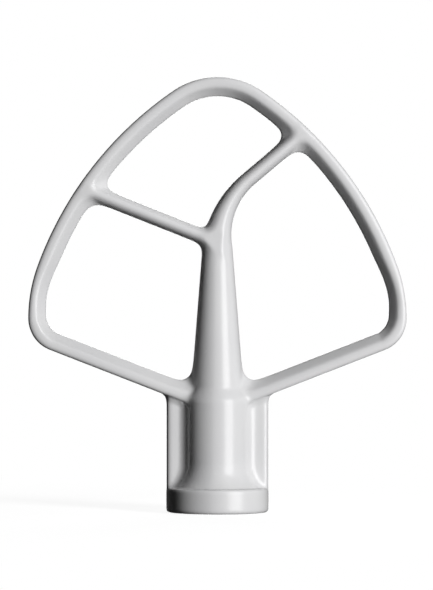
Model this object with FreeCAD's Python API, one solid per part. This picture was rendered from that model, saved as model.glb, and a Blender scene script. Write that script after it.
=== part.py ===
import FreeCAD, Part
import math
import os

# A flat beater cast in one piece. It stands on the mouth of its hub, blade up.
# The blade lies in the plane y = 0, the hub's axis is z, the mouth is at z = 0.
# Lengths are in millimetres, angles in degrees.

# Rim: the closed loop of the blade, widest at a share of its height
overall_width = 133.0
overall_height = 153.0
rim_width = 6.3
blade_depth = 10.0
widest_share = 0.4464
crown_radius = 27.5
crown_turn = 34.5
flank_turn = 70.0
shoulder_radius = 12.0
arm_slope = 21.3
keel_radius = 9.0
outer_round = 1.5

# Section of the rim and the bars: a land, a bevel and a round crest
land_depth = 3.3
bevel_angle = 48.0
crest_radius = 3.6
crest_overlap = 0.05
crest_steps = 3

# Slanted bar on the left, and the branch that leans right from the shaft; drops are below the crown
bar_width = 5.5
bar_drop = 58.1
bar_slope = 21.7
branch_lean = 49.7
branch_x = 11.0
branch_drop = 36.0
branch_foot_lean = 26.0
branch_foot_x = -1.6
branch_foot_drop = 48.0

# Corner radii of the three windows, and of the bends of the branch
bar_tip_corner = 4.2
branch_tip_corner = 4.0
branch_under_corner = 3.2
fork_corner = 4.0
armpit_corner = 2.8
shaft_foot_corner = 3.5
branch_inner_bend = 26.0
branch_outer_bend = 43.0

# Shaft: a round taper from the hub to the fork
shaft_foot_radius = 9.2
shaft_foot_height = 44.0
shaft_top_radius = 4.95
shaft_top_drop = 55.5
shaft_flare = 4.4
shaft_cover = 0.15

# Hub: a collar round the mouth, a flare, a drum and two side wings
collar_radius = 18.0
collar_height = 8.6
collar_foot_bevel = 0.8
collar_top_bevel = 0.35
flare_radius = 15.4
flare_height = 9.0
drum_radius = 11.4
drum_top_height = 38.5
wing_thickness = 5.2
wing_inset = 0.1
wing_round = 1.3
wing_root_radius = 4.4
wing_corner = 2.0
wing_overlap = 3.0

# Socket for the drive shaft, with a hooked track for its cross pin
socket_radius = 6.5
socket_depth = 36.0
socket_tip = 2.6
socket_lead = 0.8
track_width = 5.4
track_radius = 9.4
track_height = 15.0
track_turn = 82.0
track_seat_turn = 48.0
track_seat_drop = 2.0


def at(x, z):
    return FreeCAD.Vector(x, 0, z)


def toward(heading):
    return at(math.cos(math.radians(heading)), math.sin(math.radians(heading)))


def left_of(direction):
    return at(-direction.z, direction.x)


class Straight:
    """A straight side, walked along its heading with the region on its left."""

    def __init__(self, point, heading):
        self.point = point
        self.heading = heading
        self.along = toward(heading)

    def shifted(self, outward):
        return Straight(self.point - left_of(self.along) * outward, self.heading)

    def foot(self, point):
        return self.point + self.along * (point - self.point).dot(self.along)

    def edge(self, start, end):
        return Part.LineSegment(start, end).toShape()


class Round:
    """A round side about a centre, walked with the region and the centre on its left."""

    def __init__(self, centre, radius):
        self.centre = centre
        self.radius = radius

    def shifted(self, outward):
        return Round(self.centre, self.radius + outward)

    def foot(self, point):
        ray = point - self.centre
        return self.centre + ray * (self.radius / ray.Length)

    def edge(self, start, end):
        return arc_about(self.centre, start, end)


def arc_about(centre, start, end):
    """The shorter arc from start to end about a centre."""
    middle = (start + end) * 0.5 - centre
    top = centre + middle * ((start - centre).Length / middle.Length)
    return Part.Arc(start, top, end).toShape()


def crossings(a, b):
    if isinstance(a, Round) and isinstance(b, Straight):
        return crossings(b, a)
    if isinstance(a, Straight) and isinstance(b, Straight):
        across = left_of(b.along)
        return [a.point + a.along * ((b.point - a.point).dot(across) / a.along.dot(across))]
    if isinstance(a, Straight):
        middle = a.foot(b.centre)
        reach = math.sqrt(b.radius ** 2 - (middle - b.centre).Length ** 2)
        return [middle + a.along * reach, middle - a.along * reach]
    span = b.centre - a.centre
    along = (span.Length ** 2 + a.radius ** 2 - b.radius ** 2) / (2 * span.Length)
    reach = math.sqrt(a.radius ** 2 - along ** 2)
    unit = span * (1 / span.Length)
    return [a.centre + unit * along + left_of(unit) * s for s in (reach, -reach)]


def smooth_touch(a, b):
    """Where two sides meet that run on smoothly."""
    if isinstance(a, Straight):
        return a.foot(b.centre)
    if isinstance(b, Straight):
        return b.foot(a.centre)
    if a.radius > b.radius:
        return a.foot(b.centre)
    return b.foot(a.centre)


def join(a, b, radius, near):
    """Where side a is left and side b is met, and the centre of the corner if it has one."""
    if radius is None:
        return smooth_touch(a, b), smooth_touch(a, b), None
    options = crossings(a.shifted(-radius), b.shifted(-radius))
    centre = min(options, key=lambda point: (point - near).Length)
    return a.foot(centre), b.foot(centre), centre


def outline(corners):
    """A closed wire from a list of (side, radius of the corner after it, point near that corner).

    A corner radius of None means that the two sides run on smoothly. A negative radius
    rounds a corner that points into the region.
    """
    joins = []
    for index, (side, radius, near) in enumerate(corners):
        following = corners[(index + 1) % len(corners)][0]
        joins.append(join(side, following, radius, near))
    edges = []
    for index, (side, radius, near) in enumerate(corners):
        edges.append(side.edge(joins[index - 1][1], joins[index][0]))
        if joins[index][2] is not None:
            edges.append(arc_about(joins[index][2], joins[index][0], joins[index][1]))
    return Part.Wire(edges)


def slab(wire, half_depth):
    face = Part.Face(wire)
    face.translate(FreeCAD.Vector(0, -half_depth, 0))
    return face.extrude(FreeCAD.Vector(0, 2 * half_depth, 0))


def mirrored(shape):
    return shape.mirror(FreeCAD.Vector(0, 0, 0), FreeCAD.Vector(0, 1, 0))


# Rim: crown, flank, lower flank and shoulder are arcs that run on smoothly, the arms are straight

half_width = overall_width / 2
half_depth = blade_depth / 2
half_land = land_depth / 2
widest_height = widest_share * overall_height
bar_height = overall_height - bar_drop
branch_height = overall_height - branch_drop
branch_foot_height = overall_height - branch_foot_drop
shaft_top_height = overall_height - shaft_top_drop
sin_crown = math.sin(math.radians(crown_turn))
cos_crown = math.cos(math.radians(crown_turn))
sin_flank = math.sin(math.radians(flank_turn))
cos_flank = math.cos(math.radians(flank_turn))

# The two flank radii follow from the width and the height that the arcs have to reach
reach_x = half_width - crown_radius * sin_crown
reach_z = overall_height - widest_height - crown_radius * (1 - cos_crown)
across_a = sin_flank - sin_crown
across_b = 1 - sin_flank
down_a = cos_crown - cos_flank
down_b = cos_flank
mix = across_a * down_b - across_b * down_a
flank_radius = (reach_x * down_b - across_b * reach_z) / mix
lower_flank_radius = (across_a * reach_z - reach_x * down_a) / mix

crown_centre = at(0, overall_height - crown_radius)
flank_centre = crown_centre + at(sin_crown, cos_crown) * (crown_radius - flank_radius)
lower_flank_centre = flank_centre + at(sin_flank, cos_flank) * (flank_radius - lower_flank_radius)
shoulder_centre = at(half_width - shoulder_radius, widest_height)
arm_point = shoulder_centre + toward(arm_slope - 90) * shoulder_radius


def other_side(point):
    return at(-point.x, point.z)


crown = Round(crown_centre, crown_radius)
flank_right = Round(flank_centre, flank_radius)
flank_left = Round(other_side(flank_centre), flank_radius)
lower_flank_right = Round(lower_flank_centre, lower_flank_radius)
lower_flank_left = Round(other_side(lower_flank_centre), lower_flank_radius)
shoulder_right = Round(shoulder_centre, shoulder_radius)
shoulder_left = Round(other_side(shoulder_centre), shoulder_radius)
arm_right = Straight(arm_point, arm_slope)
arm_left = Straight(other_side(arm_point), -arm_slope)

rim_outline = outline([
    (arm_right, None, None),
    (shoulder_right, None, None),
    (lower_flank_right, None, None),
    (flank_right, None, None),
    (crown, None, None),
    (flank_left, None, None),
    (lower_flank_left, None, None),
    (shoulder_left, None, None),
    (arm_left, keel_radius, at(0, 0)),
])

blade = slab(rim_outline, half_depth)
face_edges = [edge for edge in blade.Edges if edge.BoundBox.YLength < 0.01]
blade = blade.makeFillet(outer_round, face_edges)

# Bar, branch and shaft sides that bound the windows

shaft_taper = (shaft_foot_radius - shaft_top_radius) / (shaft_top_height - shaft_foot_height)
shaft_lean = math.degrees(math.atan(shaft_taper))
shaft_side_x = shaft_foot_radius - shaft_cover
half_bar = bar_width / 2

shaft_left = Straight(at(-shaft_side_x, shaft_foot_height), 90 - shaft_lean)
shaft_right = Straight(at(shaft_side_x, shaft_foot_height), 270 + shaft_lean)
bar_top = Straight(at(0, bar_height), -bar_slope).shifted(-half_bar)
bar_under = Straight(at(0, bar_height), 180 - bar_slope).shifted(-half_bar)
branch_left = Straight(at(branch_x, branch_height), 90 - branch_lean).shifted(-half_bar)
branch_right = Straight(at(branch_x, branch_height), 270 - branch_lean).shifted(-half_bar)
branch_foot = Straight(at(branch_foot_x, branch_foot_height), 90 - branch_foot_lean)


full_rise = half_depth + crest_overlap - half_land
bevel = math.radians(bevel_angle)
bevel_rise = full_rise - crest_radius * (1 - math.cos(bevel))
bevel_run = bevel_rise / math.tan(bevel)
rises = [0]
for step in range(crest_steps + 1):
    turn_left = bevel * (1 - step / crest_steps)
    rises.append(full_rise - crest_radius * (1 - math.cos(turn_left)))


def rim_flare(rise):
    """How far the rim's bevel and crest stand back from its land, at a height over the land."""
    if rise <= bevel_rise:
        return rise / math.tan(bevel)
    over_centre = rise - full_rise + crest_radius
    return bevel_run + crest_radius * math.sin(bevel) - math.sqrt(crest_radius ** 2 - over_centre ** 2)


def round_flare(width, rise):
    """The same for a bar or a shaft side, whose section is a quarter of an ellipse."""
    return width * (1 - math.sqrt(max(0.0, 1 - (rise / full_rise) ** 2)))


def window(sides, rise):
    """The outline of a window at a height over the land: each side stands back by its own flare."""
    backs = []
    for side, flare, radius, near in sides:
        backs.append(rim_flare(rise) if flare is None else round_flare(flare, rise))
    corners = []
    for index, (side, flare, radius, near) in enumerate(sides):
        mean_back = (backs[index] + backs[(index + 1) % len(sides)]) / 2
        grown = None if radius is None else radius + mean_back
        corners.append((side.shifted(backs[index] - (rim_width if flare is None else 0)), grown, near))
    return outline(corners)


def window_cutters(sides):
    """A straight hole through the land, and toward each face a bevel and the round of the crest."""
    wires = []
    for rise in rises:
        wire = window(sides, rise)
        wire.translate(FreeCAD.Vector(0, half_land + rise, 0))
        wires.append(wire)
    flare = Part.makeLoft(wires, True, True)
    return slab(window(sides, 0), half_land), flare, mirrored(flare)


left_tip = at(-half_width, bar_height)
right_tip = at(half_width, overall_height)
branch_flare = (half_bar + shaft_flare) / 2

left_window = [
    (arm_left, None, shaft_foot_corner, at(0, 0)),
    (shaft_left, shaft_flare, armpit_corner, at(0, 0)),
    (bar_under, half_bar, bar_tip_corner, left_tip),
    (flank_left, None, None, None),
    (lower_flank_left, None, None, None),
    (shoulder_left, None, None, None),
]
right_window = [
    (arm_right, None, None, None),
    (shoulder_right, None, None, None),
    (lower_flank_right, None, None, None),
    (flank_right, None, branch_under_corner, right_tip),
    (branch_right, half_bar, branch_inner_bend, at(0, 0)),
    (shaft_right, shaft_flare, shaft_foot_corner, at(0, 0)),
]
top_window = [
    (bar_top, half_bar, fork_corner, at(0, 0)),
    (branch_foot, branch_flare, -branch_outer_bend, at(0, 0)),
    (branch_left, half_bar, branch_tip_corner, right_tip),
    (flank_right, None, None, None),
    (crown, None, None, None),
    (flank_left, None, bar_tip_corner, left_tip),
]
for sides in (left_window, right_window, top_window):
    for cutter in window_cutters(sides):
        blade = blade.cut(cutter)

# Hub and shaft: one turned body from the mouth to the fork


def straights(points):
    """Straight edges from each point to the next."""
    return [Part.LineSegment(start, end).toShape() for start, end in zip(points, points[1:])]


flare_top = collar_height + flare_height
flare_gap = flare_radius - drum_radius
flare_curve = (flare_height ** 2 + flare_gap ** 2) / (2 * flare_gap)
flare_centre = at(drum_radius + flare_curve, flare_top)
collar_points = [
    at(0, 0),
    at(collar_radius - collar_foot_bevel, 0),
    at(collar_radius, collar_foot_bevel),
    at(collar_radius, collar_height - collar_top_bevel),
    at(collar_radius - collar_top_bevel, collar_height),
    at(flare_radius, collar_height),
]
shaft_points = [
    at(drum_radius, flare_top),
    at(drum_radius, drum_top_height),
    at(shaft_foot_radius, shaft_foot_height),
    at(shaft_top_radius, shaft_top_height),
    at(0, shaft_top_height),
    at(0, 0),
]
flare_arc = arc_about(flare_centre, collar_points[-1], shaft_points[0])
profile = Part.Wire(straights(collar_points) + [flare_arc] + straights(shaft_points))
turned = Part.Face(profile).revolve(FreeCAD.Vector(0, 0, 0), FreeCAD.Vector(0, 0, 1), 360)

# Wings: a slab in the plane of the blade that hangs from the arms, with round roots on the drum

wing_x = collar_radius - wing_inset
half_wing = wing_thickness / 2
wing_foot = collar_height / 2
wing_right = Straight(at(wing_x, 0), 90)
wing_left = Straight(at(-wing_x, 0), 270)
under_right = arm_right.shifted(-wing_inset)
under_left = arm_left.shifted(-wing_inset)
tip_x = wing_x + 2 * wing_corner


def height_on(side, x):
    return side.point.z + (x - side.point.x) * math.tan(math.radians(side.heading))


joint_right = join(wing_right, under_right, -wing_corner, at(0, 0))
joint_left = join(under_left, wing_left, -wing_corner, at(0, 0))
tip_right = at(tip_x, height_on(under_right, tip_x))
tip_left = other_side(tip_right)
rise = at(0, wing_overlap)
keel = at(0, height_on(under_right, 0))
wing_edges = straights([joint_left[1], at(-wing_x, wing_foot), at(wing_x, wing_foot), joint_right[0]])
wing_edges.append(arc_about(joint_right[2], joint_right[0], joint_right[1]))
wing_edges += straights([
    joint_right[1], tip_right, tip_right + rise, keel + rise, tip_left + rise, tip_left, joint_left[0],
])
wing_edges.append(arc_about(joint_left[2], joint_left[0], joint_left[1]))
wing_outline = Part.Wire(wing_edges)
wings = slab(wing_outline, half_wing)
wing_rims = []
for edge in wings.Edges:
    box = edge.BoundBox
    if box.XLength < 0.01 and box.YLength < 0.01 and box.ZLength > 2 * wing_overlap:
        wing_rims.append(edge)
wings = wings.makeFillet(wing_round, wing_rims)

drum = Round(at(0, 0), drum_radius)
root_x = math.sqrt((drum_radius + wing_root_radius) ** 2 - (half_wing + wing_root_radius) ** 2)
front_right = at(root_x, -half_wing - wing_root_radius)
front_left = at(-root_x, -half_wing - wing_root_radius)
back_right = at(root_x, half_wing + wing_root_radius)
back_left = at(-root_x, half_wing + wing_root_radius)


def root(corner):
    return drum.foot(corner), at(corner.x, math.copysign(half_wing, corner.z))


root_edges = [
    Part.LineSegment(root(front_left)[0], root(front_right)[0]).toShape(),
    arc_about(front_right, *root(front_right)),
    Part.LineSegment(root(front_right)[1], root(back_right)[1]).toShape(),
    arc_about(back_right, *reversed(root(back_right))),
    Part.LineSegment(root(back_right)[0], root(back_left)[0]).toShape(),
    arc_about(back_left, *root(back_left)),
    Part.LineSegment(root(back_left)[1], root(front_left)[1]).toShape(),
    arc_about(front_left, *reversed(root(front_left))),
]
root_outline = Part.Wire(root_edges)
root_outline.rotate(FreeCAD.Vector(0, 0, 0), FreeCAD.Vector(1, 0, 0), -90)
roots = Part.Face(root_outline).extrude(FreeCAD.Vector(0, 0, shaft_foot_height))
under_arms = Part.makePolygon([
    at(-wing_x, wing_foot),
    at(wing_x, wing_foot),
    at(wing_x, height_on(under_right, wing_x)),
    keel,
    at(-wing_x, height_on(under_left, -wing_x)),
    at(-wing_x, wing_foot),
])
roots = roots.common(slab(under_arms, drum_radius))

# Socket and track

socket_base = FreeCAD.Vector(0, 0, 0)
up = FreeCAD.Vector(0, 0, 1)
socket = Part.makeCylinder(socket_radius, socket_depth, socket_base, up)
tip = Part.makeCone(socket_radius, socket_radius / 2, socket_tip, FreeCAD.Vector(0, 0, socket_depth), up)
lead = Part.makeCone(socket_radius + socket_lead, socket_radius, socket_lead, socket_base, up)
entry = Part.makeBox(track_radius, track_width, track_height, FreeCAD.Vector(0, -track_width / 2, 0))
hook_foot = track_height - track_width
hook = Part.makeCylinder(track_radius, track_width, FreeCAD.Vector(0, 0, hook_foot), up, track_turn)
seat_foot = hook_foot - track_seat_drop
seat = Part.makeCylinder(track_radius, track_seat_drop, FreeCAD.Vector(0, 0, seat_foot), up, track_seat_turn)
seat.rotate(socket_base, up, track_turn - track_seat_turn)

beater = turned.fuse([blade, wings, roots])
beater = beater.cut(socket.fuse([tip, lead, entry, hook, seat]))
beater = beater.removeSplitter()

os.makedirs("parts", exist_ok=True)
beater.exportStep("parts/flat_beater.step")
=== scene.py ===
import math

import bpy
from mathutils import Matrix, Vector


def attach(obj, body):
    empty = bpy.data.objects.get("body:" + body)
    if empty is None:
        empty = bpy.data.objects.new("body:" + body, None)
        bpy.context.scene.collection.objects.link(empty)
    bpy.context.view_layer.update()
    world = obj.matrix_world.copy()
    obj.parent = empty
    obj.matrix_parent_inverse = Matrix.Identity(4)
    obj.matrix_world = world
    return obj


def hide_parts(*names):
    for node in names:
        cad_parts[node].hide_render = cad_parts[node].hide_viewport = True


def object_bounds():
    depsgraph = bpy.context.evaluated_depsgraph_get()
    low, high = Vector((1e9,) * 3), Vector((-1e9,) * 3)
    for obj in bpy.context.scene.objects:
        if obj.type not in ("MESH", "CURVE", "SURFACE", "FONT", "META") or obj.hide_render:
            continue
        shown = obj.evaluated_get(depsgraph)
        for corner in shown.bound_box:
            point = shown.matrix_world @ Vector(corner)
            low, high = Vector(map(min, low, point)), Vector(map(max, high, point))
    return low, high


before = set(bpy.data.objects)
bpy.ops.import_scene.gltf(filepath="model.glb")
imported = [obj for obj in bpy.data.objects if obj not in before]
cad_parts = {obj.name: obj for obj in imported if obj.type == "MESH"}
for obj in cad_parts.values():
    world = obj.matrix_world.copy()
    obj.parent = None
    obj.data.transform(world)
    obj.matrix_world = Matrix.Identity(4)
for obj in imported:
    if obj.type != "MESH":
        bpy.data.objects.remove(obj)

cad_low, cad_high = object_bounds()
MM = 0.001

# Sizes of the beater, in millimetres and degrees. Its plane is y = 0 and the hub's axis is z.
# Rim: arcs down each side, then a straight arm
HALF_WIDTH = cad_high.x / MM
HEIGHT = cad_high.z / MM
COLLAR_RADIUS = cad_high.y / MM
RIM_WIDTH = 6.3
NARROW_HEIGHT = 76.0
NARROW_SPAN = 10.0
NARROWING = 0.5
WIDENING_SPAN = 16.0
WIDENING = 0.85
HALF_DEPTH = 5.0
WIDEST_SHARE = 0.4464
CROWN_RADIUS = 27.5
CROWN_TURN = 34.5
FLANK_TURN = 70.0
SHOULDER_RADIUS = 12.0
ARM_SLOPE = 21.3
SHOULDER_FILL = 0.025
# Section of the rim: a land round the windows, a bevel, a round crest and a round outer edge
HALF_LAND = 0.9
BEVEL_ANGLE = 52.5
LAND_EDGE = 0.6
CREST = 1.9
OUTER_EDGE = 2.6
# Slanted bar, and the branch that leans from the top of the tapered shaft
HALF_BAR = 2.75
BAR_HALF_DEPTH = 4.9
BAR_DROP = 58.1
BAR_SLOPE = 21.7
BEND_DROP = 59.5
BEND_RADIUS = 31.0
BRANCH_LEAN = 49.7
STEM_TOP_RADIUS = 5.25
STEM_TAPER = 0.0788
STEM_FOOT = 2.0
BEND_THINNING = 1.6
LIMB_OVERLAP = 2.0
# Corners: fillets where bar, branch and rim meet, and the webs that round the windows
FORK_FILLET = 5.0
JUNCTION = 3.0
LOW_CORNER = 15.1
CORNER_LOSS = 2.5
LOW_CORNER_TOP = 55.0
HIGH_CORNER_FOOT = 65.0
WEB_INSET = 0.6
WEB_EDGE = 0.6
WEB_HALF_DEPTH = 4.6
WEB_FRONT_EDGE = 1.0
WEB_BLEND = 1.2
# Room that the blends get past the blade's front and its outer edge, and past the edge under the shoulder
FRONT_ROOM = 0.15
EDGE_ROOM = 0.05
ARM_ROOM = 6.0
SHOULDER_FOOT = 63.0
ARM_ROOM_TOP = 53.0
ARM_TOP = 50.0
ROOM_EDGE = 0.4
# Hub: collar, flare and drum
DRUM_RADIUS = 11.4
DRUM_TOP = 38.5
SHAFT_FOOT = 44.5
FLARE_RADIUS = 15.4
FLARE_HEIGHT = 9.0
COLLAR_HEIGHT = 8.6
COLLAR_TOP_EDGE = 1.9
COLLAR_FOOT_EDGE = 2.0
COLLAR_BLEND = 0.3
# Wings beside the hub, and how they rise to the arms that they hang from
WING_INSET = 0.1
HALF_WING = 2.8
WING_ROOT = 4.4
WING_EDGE = 2.8
WING_OVERLAP = 3.0
WING_TOP = 50.0
WING_SIDE_TOP = 30.0
WING_FOOT = 4.0
RISE = 1.6
RISE_START = 2.4
RISE_END = -1.6
RISE_HUB_SIDE = 10.5
RISE_FULL = 13.0
UNDER_ARM = 3.0
UNDER_ARM_LEAST = 0.5
UNDER_ARM_FOOT = 33.0
UNDER_ARM_TOP = 37.0
UNDER_ARM_HUB_SIDE = 11.5
UNDER_ARM_FULL = 14.5
UNDER_ARM_FRONT = 2.6
UNDER_ARM_MIDDLE = 1.5
# Socket for the drive shaft and track for its pin
SOCKET_RADIUS = 6.5
SOCKET_DEPTH = 36.0
TRACK_WIDTH = 5.4
TRACK_RADIUS = 9.4
TRACK_HEIGHT = 15.0
TRACK_TURN = 82.0
SOCKET_EDGE = 0.8

# The grid that the surface is drawn through: one cell's edge, the margin round the beater, the value far outside
CELL = 0.56
GRID_MARGIN = 2.0
FAR_OUTSIDE = -10.0
# Rounds that even out the mesh, steps that blur it in each, and steps that bring it back to the surface
EVENING_ROUNDS = 3
BLUR_STEPS = 2
RETURN_STEPS = 3


def add_node(tree, kind, inputs=None, **settings):
    """Adds a node, gives it its settings, and links or sets its inputs."""
    node = tree.nodes.new(kind)
    for name, value in settings.items():
        setattr(node, name, value)
    for name, value in (inputs or {}).items():
        if isinstance(value, bpy.types.NodeSocket):
            tree.links.new(value, node.inputs[name])
        else:
            node.inputs[name].default_value = value
    return node


class Field:
    """A number that is worked out at each point of space, by the Math nodes that its sums add to the tree."""

    def __init__(self, tree, socket):
        self.tree = tree
        self.socket = socket

    def math(self, operation, *others):
        values = [self.socket]
        for other in others:
            values.append(other.socket if isinstance(other, Field) else other)
        node = add_node(self.tree, "ShaderNodeMath", dict(enumerate(values)), operation=operation)
        return Field(self.tree, node.outputs[0])

    def __add__(self, other):
        return self.math("ADD", other)

    def __sub__(self, other):
        return self.math("SUBTRACT", other)

    def __mul__(self, other):
        return self.math("MULTIPLY", other)

    def __truediv__(self, other):
        return self.math("DIVIDE", other)

    def __neg__(self):
        return self.math("MULTIPLY", -1.0)

    def __abs__(self):
        return self.math("ABSOLUTE")

    def __pow__(self, power):
        return self.math("POWER", power)


def length(a, b):
    return (a * a + b * b).math("SQRT")


def inside_both(a, b, blend=0.0):
    """Distance to the part that two solids share, with the edge between them rounded."""
    return a.math("SMOOTH_MAX", b, blend)


def inside_either(a, b, blend=0.0):
    """Distance to two solids together, with the corner between them filled."""
    return a.math("SMOOTH_MIN", b, blend)


def where(test, yes, no):
    """One field where the test is above zero, another elsewhere."""
    inputs = {"Switch": test.socket, "True": yes.socket, "False": no.socket}
    return Field(test.tree, add_node(test.tree, "GeometryNodeSwitch", inputs, input_type="FLOAT").outputs[0])


def eased(field, start, end):
    """Rises smoothly from 0 to 1 as a field goes from one value to another."""
    inputs = {"Value": field.socket, "From Min": start, "From Max": end}
    node = add_node(field.tree, "ShaderNodeMapRange", inputs, interpolation_type="SMOOTHSTEP")
    return Field(field.tree, node.outputs[0])


def cos(degrees):
    return math.cos(math.radians(degrees))


def sin(degrees):
    return math.sin(math.radians(degrees))


def rim_arcs():
    """Centre and radius of the four arcs down one side of the rim, from the crown to the shoulder."""
    widest = WIDEST_SHARE * HEIGHT
    reach_x = HALF_WIDTH - CROWN_RADIUS * sin(CROWN_TURN)
    reach_z = HEIGHT - widest - CROWN_RADIUS * (1 - cos(CROWN_TURN))
    across_a, across_b = sin(FLANK_TURN) - sin(CROWN_TURN), 1 - sin(FLANK_TURN)
    down_a, down_b = cos(CROWN_TURN) - cos(FLANK_TURN), cos(FLANK_TURN)
    mix = across_a * down_b - across_b * down_a
    flank_radius = (reach_x * down_b - across_b * reach_z) / mix
    lower_radius = (across_a * reach_z - reach_x * down_a) / mix
    crown = Vector((0, HEIGHT - CROWN_RADIUS))
    flank = crown + Vector((sin(CROWN_TURN), cos(CROWN_TURN))) * (CROWN_RADIUS - flank_radius)
    lower = flank + Vector((sin(FLANK_TURN), cos(FLANK_TURN))) * (flank_radius - lower_radius)
    shoulder = Vector((HALF_WIDTH - SHOULDER_RADIUS, widest))
    return (crown, CROWN_RADIUS), (flank, flank_radius), (lower, lower_radius), (shoulder, SHOULDER_RADIUS)


def rim_outside(size, ax, z):
    """Distance outward from the rim's outer edge, in the plane of the blade."""
    names = ("Crown", "Flank", "Lower flank", "Shoulder")
    across, up, arcs = [], [], []
    for name, (centre, radius) in zip(names, rim_arcs()):
        across.append(ax - size(name + " centre X", centre.x))
        up.append(z - size(name + " centre Z", centre.y))
        arcs.append(length(across[-1], up[-1]) - size(name + " radius", radius))
    arm = across[3] * sin(ARM_SLOPE) - up[3] * cos(ARM_SLOPE) - size("Arm reach", SHOULDER_RADIUS)
    past_crown = across[0] * cos(CROWN_TURN) - up[0] * sin(CROWN_TURN)
    past_flank = across[1] * cos(FLANK_TURN) - up[1] * sin(FLANK_TURN)
    past_shoulder = -(across[3] * cos(ARM_SLOPE) + up[3] * sin(ARM_SLOPE))
    outside = where(past_shoulder, arm, arcs[3])
    outside = where(-up[3], outside, arcs[2])
    outside = where(past_flank, outside, arcs[1])
    outside = where(past_crown, outside, arcs[0])
    shoulder = (-up[3]).math("MAXIMUM", 0.0) * (-past_shoulder).math("MAXIMUM", 0.0)
    return outside, shoulder


def rim_solid(size, outside, shoulder, z, v):
    """The rim: rounded outside, with a bevel down to a thin land round the windows. Also its flat outline."""
    narrowing = eased(z, NARROW_HEIGHT - NARROW_SPAN, NARROW_HEIGHT) * NARROWING
    widening = eased(z, NARROW_HEIGHT, NARROW_HEIGHT + WIDENING_SPAN) * WIDENING
    width = size("Rim width", RIM_WIDTH) - narrowing + widening
    width = width + shoulder * size("Shoulder fill", SHOULDER_FILL)
    past_land = -(outside + width)
    front = v - size("Half depth", HALF_DEPTH)
    bevel = past_land * sin(BEVEL_ANGLE) + (v - size("Half land", HALF_LAND)) * cos(BEVEL_ANGLE)
    inner = inside_both(bevel, past_land, size("Land edge", LAND_EDGE))
    outer = inside_both(front, outside, size("Outer edge", OUTER_EDGE))
    return inside_both(outer, inner, size("Crest", CREST)), inside_both(outside, past_land)


def bar_solid(size, outside, x, z, v):
    """The slanted bar from the fork to the rim, of oval section. Also its flat outline."""
    half_bar = size("Half bar", HALF_BAR)
    across = x * sin(BAR_SLOPE) + (z - size("Bar height", HEIGHT - BAR_DROP)) * cos(BAR_SLOPE)
    oval = (length(across / half_bar, v / size("Bar half depth", BAR_HALF_DEPTH)) - 1.0) * half_bar
    ends = inside_both(x, outside + LIMB_OVERLAP)
    return inside_both(oval, ends), inside_both(abs(across) - half_bar, ends)


def turned_radius(size, z):
    """Radius of the hub and shaft: a flare over the collar, the drum, then the tapered shaft."""
    gap = FLARE_RADIUS - DRUM_RADIUS
    curve = size("Flare curve", (FLARE_HEIGHT ** 2 + gap ** 2) / (2 * gap))
    under = (z - (COLLAR_HEIGHT + FLARE_HEIGHT)).math("MINIMUM", 0.0).math("MAXIMUM", -FLARE_HEIGHT)
    flare = curve - (curve * curve - under * under).math("SQRT")
    drum = size("Drum radius", DRUM_RADIUS)
    taper = size("Stem top radius", STEM_TOP_RADIUS) - (z - (HEIGHT - BEND_DROP)) * size("Taper", STEM_TAPER)
    return drum + flare + (taper - drum) * eased(z, DRUM_TOP, SHAFT_FOOT)


def stem_solid(size, outside, x, z, v, turned):
    """Hub, shaft and branch in one: round up to the fork, then an oval bar. Also its flat outline."""
    half_bar = size("Branch half width", HALF_BAR)
    top_radius = size("Bend radius at foot", STEM_TOP_RADIUS)
    bend_radius = size("Bend radius", BEND_RADIUS)
    over_bend = z - size("Bend height", HEIGHT - BEND_DROP)
    from_centre = bend_radius - x
    turn = over_bend.math("ARCTAN2", from_centre) / math.radians(BRANCH_LEAN)
    turn = turn.math("MAXIMUM", 0.0).math("MINIMUM", 1.0)
    bend_side = length(from_centre, over_bend) - bend_radius
    end_x = x - BEND_RADIUS * (1 - cos(BRANCH_LEAN))
    end_z = over_bend - BEND_RADIUS * sin(BRANCH_LEAN)
    past_bend = end_x * sin(BRANCH_LEAN) + end_z * cos(BRANCH_LEAN)
    straight_side = end_x * cos(BRANCH_LEAN) - end_z * sin(BRANCH_LEAN)
    side = where(past_bend, straight_side, bend_side)
    side = where(over_bend, side, x)
    shrink = (turn * -1.0 + 1.0) ** BEND_THINNING
    half_width = where(over_bend, half_bar + (top_radius - half_bar) * shrink, turned)
    depth = where(over_bend, top_radius - (top_radius - BAR_HALF_DEPTH) * turn, turned)
    oval = (length(side / half_width, v / depth) - 1.0) * half_width
    ends = where(over_bend, outside + LIMB_OVERLAP, -(z - STEM_FOOT))
    return inside_both(oval, ends), inside_both(abs(side) - half_width, ends)


def corner_webs(size, flat, v):
    """The webs that round the windows' corners, with the rim's bevel all the way round."""
    inset = flat + size("Web inset", WEB_INSET)
    bevel = inset * sin(BEVEL_ANGLE) + (v - HALF_LAND) * cos(BEVEL_ANGLE)
    webs = inside_both(bevel, inset, size("Web edge", WEB_EDGE))
    return inside_both(webs, v - size("Web half depth", WEB_HALF_DEPTH), WEB_FRONT_EDGE)


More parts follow.
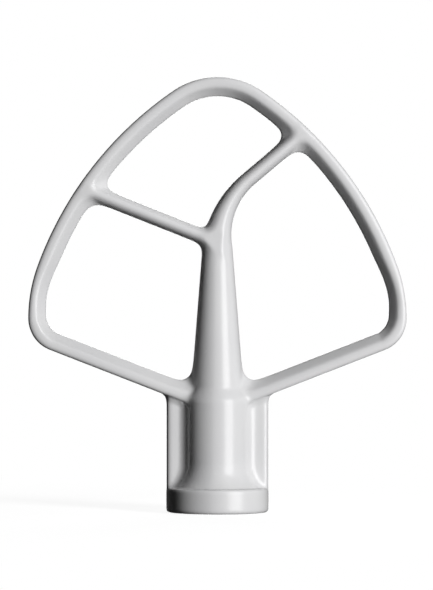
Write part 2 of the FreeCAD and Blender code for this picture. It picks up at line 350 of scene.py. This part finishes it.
def wing_solid(size, outside, ax, z, v, turned):
    """Two flat wings beside the hub, that hang from the arms and run into the hub in a round hollow."""
    half_wing = size("Half wing", HALF_WING)
    root = size("Wing root", WING_ROOT)
    reach, rise = turned + root, half_wing + root
    centre = (reach * reach - rise * rise).math("SQRT")
    hollow = root - length(ax - centre, v - rise)
    beside_hub = (centre - ax).math("MINIMUM", ax * rise - v * centre)
    beside = eased(ax, RISE_HUB_SIDE, RISE_FULL)
    rise_to_arm = eased(outside, RISE_START, RISE_END) * beside * size("Rise to arm", RISE)
    face = where(beside_hub, hollow, v - half_wing) - rise_to_arm
    wings = inside_both(ax - (COLLAR_RADIUS - WING_INSET), face, size("Wing edge", WING_EDGE))
    wings = inside_both(wings, -(outside + WING_OVERLAP))
    return inside_both(inside_both(wings, z - size("Wing top", WING_TOP)), -(z - WING_FOOT))


def socket_hollow(size, x, y, z, v, r):
    """The blind socket, and the hooked track that takes the drive pin."""
    bore = inside_both(r - size("Socket radius", SOCKET_RADIUS), z - size("Socket depth", SOCKET_DEPTH))
    track = r - size("Track radius", TRACK_RADIUS)
    half_track = TRACK_WIDTH / 2
    entry = inside_both(inside_both(v - half_track, -x), z - TRACK_HEIGHT)
    sector = inside_both(-y, y * cos(TRACK_TURN) - x * sin(TRACK_TURN))
    hook = inside_both(sector, abs(z - (TRACK_HEIGHT - half_track)) - half_track)
    return inside_either(bore, inside_both(track, inside_either(entry, hook)))


def beater_distance(tree, size):
    """Distance to the beater's surface in millimetres, negative inside."""
    place = add_node(tree, "GeometryNodeInputPosition").outputs[0]
    axes = add_node(tree, "ShaderNodeSeparateXYZ", {0: place})
    x, y, z = (Field(tree, axis) / MM for axis in axes.outputs)
    ax, v, r = abs(x), abs(y), length(x, y)
    outside, shoulder = rim_outside(size, ax, z)
    turned = turned_radius(size, z)
    rim, rim_flat = rim_solid(size, outside, shoulder, z, v)
    bar, bar_flat = bar_solid(size, outside, x, z, v)
    stem, stem_flat = stem_solid(size, outside, x, z, v, turned)
    fork = size("Fork fillet", FORK_FILLET)
    limbs = inside_either(bar, stem, fork)
    corner = size("Window corner", LOW_CORNER) - eased(z, LOW_CORNER_TOP, HIGH_CORNER_FOOT) * CORNER_LOSS
    flat = inside_either(rim_flat, inside_either(bar_flat, stem_flat, fork), corner)
    blade = inside_either(rim, limbs, size("Junction", JUNCTION))
    blade = inside_either(blade, corner_webs(size, flat, v), size("Web blend", WEB_BLEND))
    front = v - turned.math("MAXIMUM", HALF_DEPTH) - FRONT_ROOM
    room = eased(z, SHOULDER_FOOT, ARM_ROOM_TOP) * ARM_ROOM + EDGE_ROOM
    edge = inside_both(front, outside - room, OUTER_EDGE)
    blade = inside_both(blade, where(z - ARM_TOP, edge, front), ROOM_EDGE)
    wings = wing_solid(size, outside, ax, z, v, turned)
    near_arm = eased(z, UNDER_ARM_FOOT, UNDER_ARM_TOP) * eased(ax, UNDER_ARM_HUB_SIDE, UNDER_ARM_FULL)
    depth = eased(v, UNDER_ARM_FRONT, UNDER_ARM_MIDDLE) * size("Under arm", UNDER_ARM) + UNDER_ARM_LEAST
    solid = inside_either(blade, wings, near_arm * depth)
    wing_side = where(-(z - WING_SIDE_TOP), ax - (COLLAR_RADIUS - WING_INSET), -r)
    solid = inside_both(solid, wing_side)
    collar_top = z - size("Collar height", COLLAR_HEIGHT)
    collar = inside_both(r - size("Collar radius", COLLAR_RADIUS), collar_top, COLLAR_TOP_EDGE)
    collar = inside_both(collar, -z, COLLAR_FOOT_EDGE)
    solid = inside_either(solid, collar, COLLAR_BLEND)
    return inside_both(solid, -socket_hollow(size, x, y, z, v, r), SOCKET_EDGE)


def beater_tree(material):
    """A tree that draws the surface where the distance is zero, and the values for its inputs."""
    tree = bpy.data.node_groups.new("beater_form", "GeometryNodeTree")
    tree.interface.new_socket("Geometry", in_out="OUTPUT", socket_type="NodeSocketGeometry")
    sizes = add_node(tree, "NodeGroupInput")
    values = {}

    def size(name, value):
        item = tree.interface.new_socket(name, in_out="INPUT", socket_type="NodeSocketFloat")
        values[item.identifier] = value
        return Field(tree, sizes.outputs[item.identifier])

    distance = beater_distance(tree, size)
    margin = Vector((1, 1, 1)) * GRID_MARGIN * MM
    low, high = Vector(cad_low) - margin, Vector(cad_high) + margin
    cells = [round(span / (CELL * MM)) for span in high - low]
    cube = add_node(tree, "GeometryNodeVolumeCube", {
        "Density": (-distance).socket, "Background": FAR_OUTSIDE, "Min": low, "Max": high,
        "Resolution X": cells[0], "Resolution Y": cells[1], "Resolution Z": cells[2],
    })
    skin = add_node(tree, "GeometryNodeVolumeToMesh", {"Volume": cube.outputs[0], "Threshold": 0.0})
    mesh = skin.outputs[0]
    normal = add_node(tree, "GeometryNodeInputNormal").outputs[0]
    step = add_node(tree, "ShaderNodeVectorMath", {0: normal, "Scale": (distance * -MM).socket}, operation="SCALE")
    place = add_node(tree, "GeometryNodeInputPosition").outputs[0]
    evened = add_node(tree, "GeometryNodeBlurAttribute", {
        "Value": place, "Iterations": BLUR_STEPS,
    }, data_type="FLOAT_VECTOR")
    for _ in range(EVENING_ROUNDS):
        moves = [{"Position": evened.outputs[0]}] + [{"Offset": step.outputs[0]}] * RETURN_STEPS
        for move in moves:
            mesh = add_node(tree, "GeometryNodeSetPosition", {"Geometry": mesh, **move}).outputs[0]
    mesh = add_node(tree, "GeometryNodeSetShadeSmooth", {"Geometry": mesh}).outputs[0]
    mesh = add_node(tree, "GeometryNodeRealizeInstances", {"Geometry": mesh}).outputs[0]
    mesh = add_node(tree, "GeometryNodeSetMaterial", {"Geometry": mesh, "Material": material}).outputs[0]
    add_node(tree, "NodeGroupOutput", {"Geometry": mesh})
    return tree, values


def make_beater(material):
    tree, values = beater_tree(material)
    seed = bpy.data.objects.new("beater_seed", bpy.data.meshes.new("beater_seed"))
    bpy.context.scene.collection.objects.link(seed)
    modifier = seed.modifiers.new("form", "NODES")
    modifier.node_group = tree
    for identifier, value in values.items():
        modifier[identifier] = float(value)
    graph = bpy.context.evaluated_depsgraph_get()
    mesh = bpy.data.meshes.new_from_object(seed.evaluated_get(graph))
    bpy.data.objects.remove(seed)
    beater = bpy.data.objects.new("beater", mesh)
    bpy.context.scene.collection.objects.link(beater)
    return beater


def linear(hex_colour):
    """An sRGB hex colour as linear red, green, blue and alpha."""
    parts = [int(hex_colour[i:i + 2], 16) / 255 for i in (1, 3, 5)]
    return [c / 12.92 if c <= 0.04045 else ((c + 0.055) / 1.055) ** 2.4 for c in parts] + [1.0]


def coated_casting():
    """Cast aluminium under a baked nylon coat: pale grey, smooth to the touch, with a soft broad gloss."""
    cloud_size, peel_size, wear_size = 14 * MM, 1.1 * MM, 6 * MM
    peel_height = 0.008 * MM
    glossiest, dullest = 0.2, 0.3
    material = bpy.data.materials.new("nylon_coated_aluminium")
    material.use_nodes = True
    tree = material.node_tree
    shader = tree.nodes["Principled BSDF"]
    shader.inputs["IOR"].default_value = 1.5
    place = add_node(tree, "ShaderNodeTexCoord").outputs["Object"]
    # The coat runs a little thicker and thinner over the casting, which clouds its grey very faintly.
    cloud = add_node(tree, "ShaderNodeTexNoise", {"Vector": place, "Scale": 1 / cloud_size, "Detail": 2.0})
    grey = add_node(tree, "ShaderNodeMix", {
        "Factor": cloud.outputs["Fac"], 6: linear("#CECED0"), 7: linear("#D6D6D6"),
    }, data_type="RGBA")
    tree.links.new(grey.outputs[2], shader.inputs["Base Color"])
    # Orange peel from baking: waves about a millimetre wide, a few microns high, that soften the gloss's edges.
    peel = add_node(tree, "ShaderNodeTexNoise", {"Vector": place, "Scale": 1 / peel_size, "Detail": 1.0})
    bump = add_node(tree, "ShaderNodeBump", {
        "Height": peel.outputs["Fac"], "Distance": peel_height, "Strength": 1.0,
    })
    tree.links.new(bump.outputs["Normal"], shader.inputs["Normal"])
    # Handling and washing leave the gloss a little uneven.
    wear = add_node(tree, "ShaderNodeTexNoise", {"Vector": place, "Scale": 1 / wear_size, "Detail": 3.0})
    rough = add_node(tree, "ShaderNodeMapRange", {
        "Value": wear.outputs["Fac"], "To Min": glossiest, "To Max": dullest,
    })
    tree.links.new(rough.outputs[0], shader.inputs["Roughness"])
    return material


coat = coated_casting()
beater = make_beater(coat)
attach(beater, "root")
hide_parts("flat_beater")


def make_camera():
    photo_width, photo_height = 433, 590
    axis_pixel = 217.4
    pixel = 0.352 * MM
    distance = 1.43
    eye_height = 76.4 * MM
    centre = Vector(((photo_width / 2 - axis_pixel) * pixel, 0, eye_height))
    data = bpy.data.cameras.new("camera")
    data.sensor_fit = "AUTO"
    data.sensor_width = 36.0
    data.lens = data.sensor_width * distance / (photo_height * pixel)
    camera = bpy.data.objects.new("camera", data)
    camera.location = centre + Vector((0, -distance, 0))
    camera.rotation_euler = (math.radians(90), 0, 0)
    bpy.context.scene.collection.objects.link(camera)
    bpy.context.scene.camera = camera


def aimed_light(name, azimuth, elevation, distance, size, power):
    """A soft box at an angle from the front, round to the right, aimed at the middle of the beater."""
    data = bpy.data.lights.new(name, "AREA")
    data.shape = "RECTANGLE"
    data.size, data.size_y = size
    data.energy = power
    light = bpy.data.objects.new(name, data)
    aim = Vector((0, 0, HEIGHT / 2 * MM))
    ray = Vector((sin(azimuth) * cos(elevation), -cos(azimuth) * cos(elevation), sin(elevation)))
    light.location = aim + ray * distance
    light.visible_camera = False
    light.rotation_mode = "QUATERNION"
    light.rotation_quaternion = ray.to_track_quat("Z", "Y")
    bpy.context.scene.collection.objects.link(light)
    return light


def make_world():
    """White where the camera and the gloss look, and hardly any light from all round."""
    world = bpy.data.worlds.new("studio")
    world.use_nodes = True
    tree = world.node_tree
    path = add_node(tree, "ShaderNodeLightPath")
    seen = path.outputs["Is Camera Ray"]
    for ray in ("Is Glossy Ray", "Is Transmission Ray"):
        seen = add_node(tree, "ShaderNodeMath", {0: seen, 1: path.outputs[ray]}, operation="MAXIMUM").outputs[0]
    faint, white = 0.012, 1.0
    strength = add_node(tree, "ShaderNodeMapRange", {"Value": seen, "To Min": faint, "To Max": white})
    back = tree.nodes["Background"]
    back.inputs["Color"].default_value = (1, 1, 1, 1)
    tree.links.new(strength.outputs[0], back.inputs["Strength"])
    bpy.context.scene.world = world


def make_floor():
    """White paper that shows the beater's shadow, runs out to plain white, and throws little light back."""
    mesh = bpy.data.meshes.new("floor")
    reach, low = 6.0, -0.05 * MM
    fade_start, fade_end = 0.06, 0.28
    corners = [(-reach, -reach, low), (reach, -reach, low), (reach, reach, low), (-reach, reach, low)]
    mesh.from_pydata(corners, [], [(0, 1, 2, 3)])
    floor = bpy.data.objects.new("floor", mesh)
    floor.visible_shadow = False
    floor.visible_glossy = False
    bpy.context.scene.collection.objects.link(floor)
    material = bpy.data.materials.new("white_paper")
    material.use_nodes = True
    # Its white is for the camera alone, so it isn't counted among the lamps.
    material.cycles.emission_sampling = "NONE"
    tree = material.node_tree
    tree.nodes.remove(tree.nodes["Principled BSDF"])
    path = add_node(tree, "ShaderNodeLightPath")
    place = add_node(tree, "ShaderNodeTexCoord").outputs["Object"]
    away = add_node(tree, "ShaderNodeVectorMath", {0: place}, operation="LENGTH").outputs["Value"]
    fade = add_node(tree, "ShaderNodeMapRange", {
        "Value": away, "From Min": fade_start, "From Max": fade_end,
    }, interpolation_type="SMOOTHSTEP")
    paper = add_node(tree, "ShaderNodeBsdfDiffuse", {"Color": linear("#909090")})
    glow = add_node(tree, "ShaderNodeEmission", {"Strength": 0.88})
    shaded = add_node(tree, "ShaderNodeAddShader", {0: paper.outputs[0], 1: glow.outputs[0]})
    white = add_node(tree, "ShaderNodeEmission", {"Strength": 1.0})
    seen = add_node(tree, "ShaderNodeMixShader", {0: fade.outputs[0], 1: shaded.outputs[0], 2: white.outputs[0]})
    dim = add_node(tree, "ShaderNodeBsdfDiffuse", {"Color": linear("#404040")})
    mix = add_node(tree, "ShaderNodeMixShader", {
        0: path.outputs["Is Camera Ray"], 1: dim.outputs[0], 2: seen.outputs[0],
    })
    tree.links.new(mix.outputs[0], tree.nodes["Material Output"].inputs["Surface"])
    mesh.materials.append(material)


def make_cards():
    """Black cards left, right and behind, that only the gloss sees: they keep the beater's edges dark on white."""
    left, right, front, rear, low, high = -0.5, 1.1, -2.0, 3.0, -1.5, 2.0
    right_front = -0.6
    mesh = bpy.data.meshes.new("dark_cards")
    corners = []
    for x, y in ((left, front), (left, rear), (right, rear), (right, right_front)):
        corners += [(x, y, low), (x, y, high)]
    mesh.from_pydata(corners, [], [(0, 2, 3, 1), (2, 4, 5, 3), (4, 6, 7, 5)])
    cards = bpy.data.objects.new("dark_cards", mesh)
    cards.visible_camera = False
    cards.visible_diffuse = False
    cards.visible_shadow = False
    bpy.context.scene.collection.objects.link(cards)
    material = bpy.data.materials.new("black_card")
    material.use_nodes = True
    shader = material.node_tree.nodes["Principled BSDF"]
    shader.inputs["Base Color"].default_value = linear("#0C0C0C")
    shader.inputs["Roughness"].default_value = 0.9
    mesh.materials.append(material)


make_camera()
make_world()
make_floor()
make_cards()
# Each side has a lamp that lights the coat and a box that its gloss mirrors, so that each has the size it needs.
key = aimed_light("key", azimuth=39, elevation=10, distance=1.2, size=(0.32, 0.5), power=17.5)
soft_box = aimed_light("soft_box", azimuth=41, elevation=8, distance=1.2, size=(0.66, 1.05), power=8.5)
back = aimed_light("back", azimuth=180, elevation=6, distance=1.3, size=(1.4, 0.8), power=18)
back_box = aimed_light("back_box", azimuth=180, elevation=5, distance=1.3, size=(0.36, 0.9), power=3.5)
for lamp in (key, back):
    lamp.visible_glossy = False
for box in (soft_box, back_box):
    box.visible_diffuse = False
bpy.context.scene.view_settings.view_transform = "Standard"
